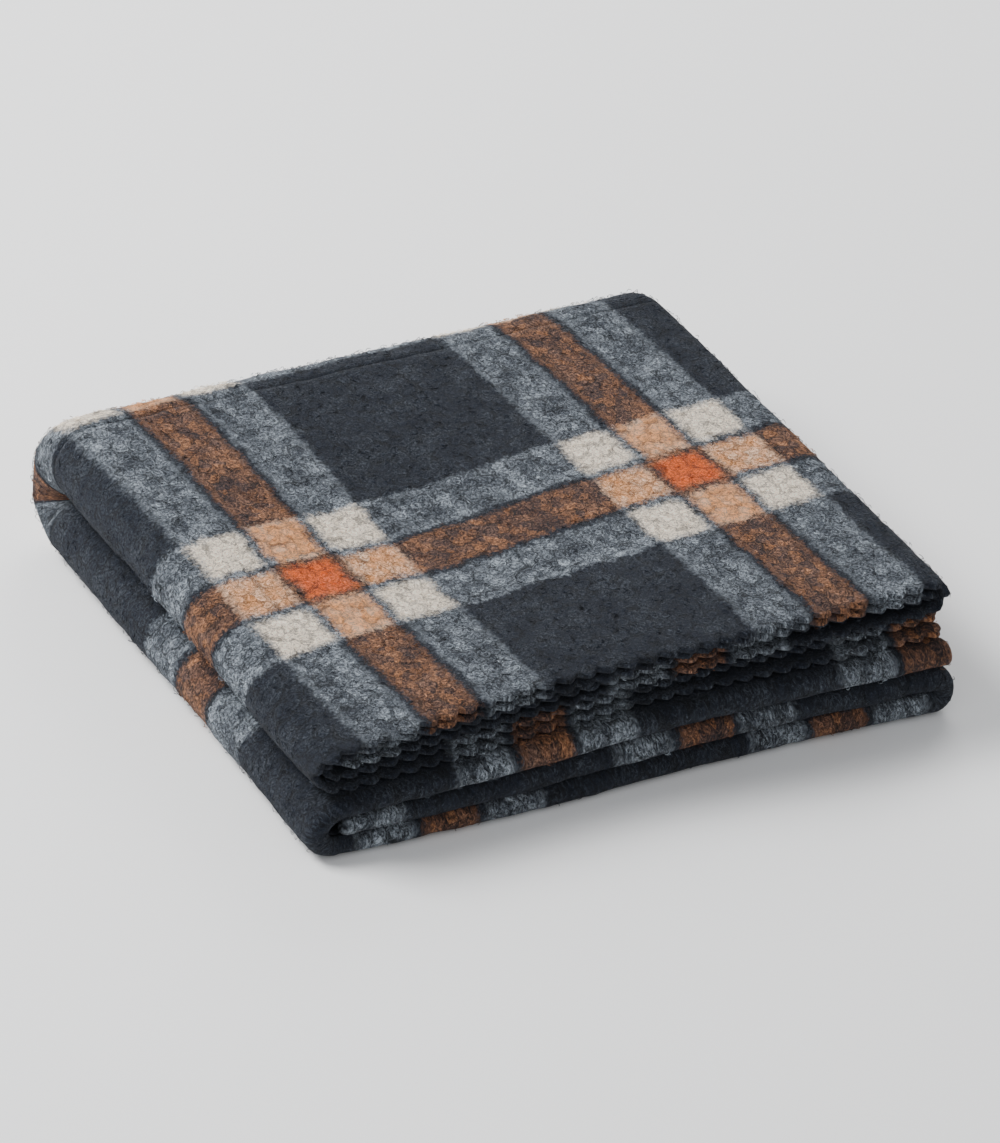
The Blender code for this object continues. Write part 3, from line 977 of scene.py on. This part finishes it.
class BLANKET_OT_curls(bpy.types.Operator):
    """Stands curls of wool on the faces that can be seen"""

    bl_idname = "blanket.curls"
    bl_label = "Curls of Wool"

    def execute(self, context):
        pile = settings()[2]
        layers = {
            part: [context.scene.objects[f"{part}_wool_{side}"] for side in ("outer", "inner")]
            for part in CURL_SHARES
        }
        solids = faces_of(sum(layers.values(), []))[0]
        for seed, (part, share_of_curls) in enumerate(CURL_SHARES.items()):
            count = round(pile.curls * share_of_curls)
            piece = curl_piece(f"{part}_curls", layers[part], solids, pile, count, seed)
            if part == "back":
                bend_over_hinge(piece)
            else:
                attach(piece, UPPER if part == "upper" else LOWER)
        return {"FINISHED"}


class BLANKET_OT_stage(bpy.types.Operator):
    """Sets the floor, the lamps and the camera"""

    bl_idname = "blanket.stage"
    bl_label = "Stage"

    def execute(self, context):
        bpy.ops.object.select_all(action="DESELECT")
        bpy.ops.mesh.primitive_plane_add(size=FLOOR_SIZE, location=(0, 0, -FLOOR_DROP))
        floor = context.object
        floor.name = "floor"
        floor.data.materials.append(floor_material())
        for name, (place, size, power) in LAMPS.items():
            lamp(name, place, size, power)
        world = bpy.data.worlds.new("studio")
        context.scene.world = world
        world.use_nodes = True
        background = world.node_tree.nodes["Background"]
        background.inputs["Color"].default_value = STUDIO_COLOUR
        background.inputs["Strength"].default_value = STUDIO_LIGHT
        add_camera(context)
        return {"FINISHED"}


def floor_material():
    """Pale and matt, with a faint unevenness."""
    material = bpy.data.materials.new("pale_floor")
    material.use_nodes = True
    tree = Tree(material.node_tree)
    shader = material.node_tree.nodes["Principled BSDF"]
    grain = tree.noise(tree.add("ShaderNodeTexCoord").outputs["Object"], 3.0, 4.0)["Fac"]
    tone = tree.mix(grain, *FLOOR_TONES)
    tree.feed(shader.inputs["Base Color"], tone)
    shader.inputs["Roughness"].default_value = 0.9
    shader.inputs["Specular IOR Level"].default_value = 0.1
    return material


def lamp(name, place, size, power):
    """A soft square lamp that looks at the middle of the pack."""
    data = bpy.data.lights.new(name, "AREA")
    data.size = size
    data.energy = power
    lamp_object = bpy.data.objects.new(name, data)
    bpy.context.collection.objects.link(lamp_object)
    lamp_object.location = place
    aim = Vector((0, 0, HALF_HEIGHT)) - Vector(place)
    lamp_object.rotation_euler = aim.to_track_quat("-Z", "Y").to_euler()
    return lamp_object


def add_camera(context):
    """Looks down on the pack from its front left, a little rolled."""
    data = bpy.data.cameras.new("camera")
    data.sensor_width = CAMERA_SENSOR
    data.lens = CAMERA_SENSOR * CAMERA_DISTANCE / VIEW_HEIGHT
    camera = bpy.data.objects.new("camera", data)
    context.collection.objects.link(camera)
    level = math.cos(CAMERA_ELEVATION)
    back = Vector(
        (
            math.sin(CAMERA_AZIMUTH) * level,
            -math.cos(CAMERA_AZIMUTH) * level,
            math.sin(CAMERA_ELEVATION),
        )
    )
    right = Vector((0, 0, 1)).cross(back).normalized()
    aim = right * CAMERA_SHIFT[0] + back.cross(right) * CAMERA_SHIFT[1]
    camera.location = aim + CAMERA_DISTANCE * back
    turn = (-back).to_track_quat("-Z", "Y")
    camera.rotation_euler = (Quaternion(back, CAMERA_ROLL) @ turn).to_euler()
    context.scene.camera = camera


class BLANKET_PT_sidebar(bpy.types.Panel):
    """Lists the blanket's operators and sizes"""

    bl_idname = "BLANKET_PT_sidebar"
    bl_label = "Camp Blanket"
    bl_space_type = "VIEW_3D"
    bl_region_type = "UI"
    bl_category = "Blanket"

    def draw(self, context):
        for operator in OPERATORS:
            self.layout.operator(operator.bl_idname)
        for group in settings():
            box = self.layout.box()
            for name in group.bl_rna.properties.keys():
                if name not in ("rna_type", "name"):
                    box.prop(group, name)


GROUPS = {
    "blanket_cloth": BlanketCloth,
    "blanket_colours": BlanketColours,
    "blanket_pile": BlanketPile,
}
OPERATORS = (BLANKET_OT_halves, BLANKET_OT_back_fold, BLANKET_OT_curls, BLANKET_OT_stage)


def register():
    for name, group in GROUPS.items():
        bpy.utils.register_class(group)
        setattr(bpy.types.Scene, name, bpy.props.PointerProperty(type=group))
    for kind in (*OPERATORS, BLANKET_PT_sidebar):
        bpy.utils.register_class(kind)


def unregister():
    for kind in (BLANKET_PT_sidebar, *reversed(OPERATORS)):
        bpy.utils.unregister_class(kind)
    for name, group in reversed(GROUPS.items()):
        delattr(bpy.types.Scene, name)
        bpy.utils.unregister_class(group)


def main():
    register()
    bpy.ops.blanket.halves()
    bpy.ops.blanket.back_fold()
    bpy.ops.blanket.curls()
    bpy.ops.blanket.stage()


if __name__ == "__main__":
    main()
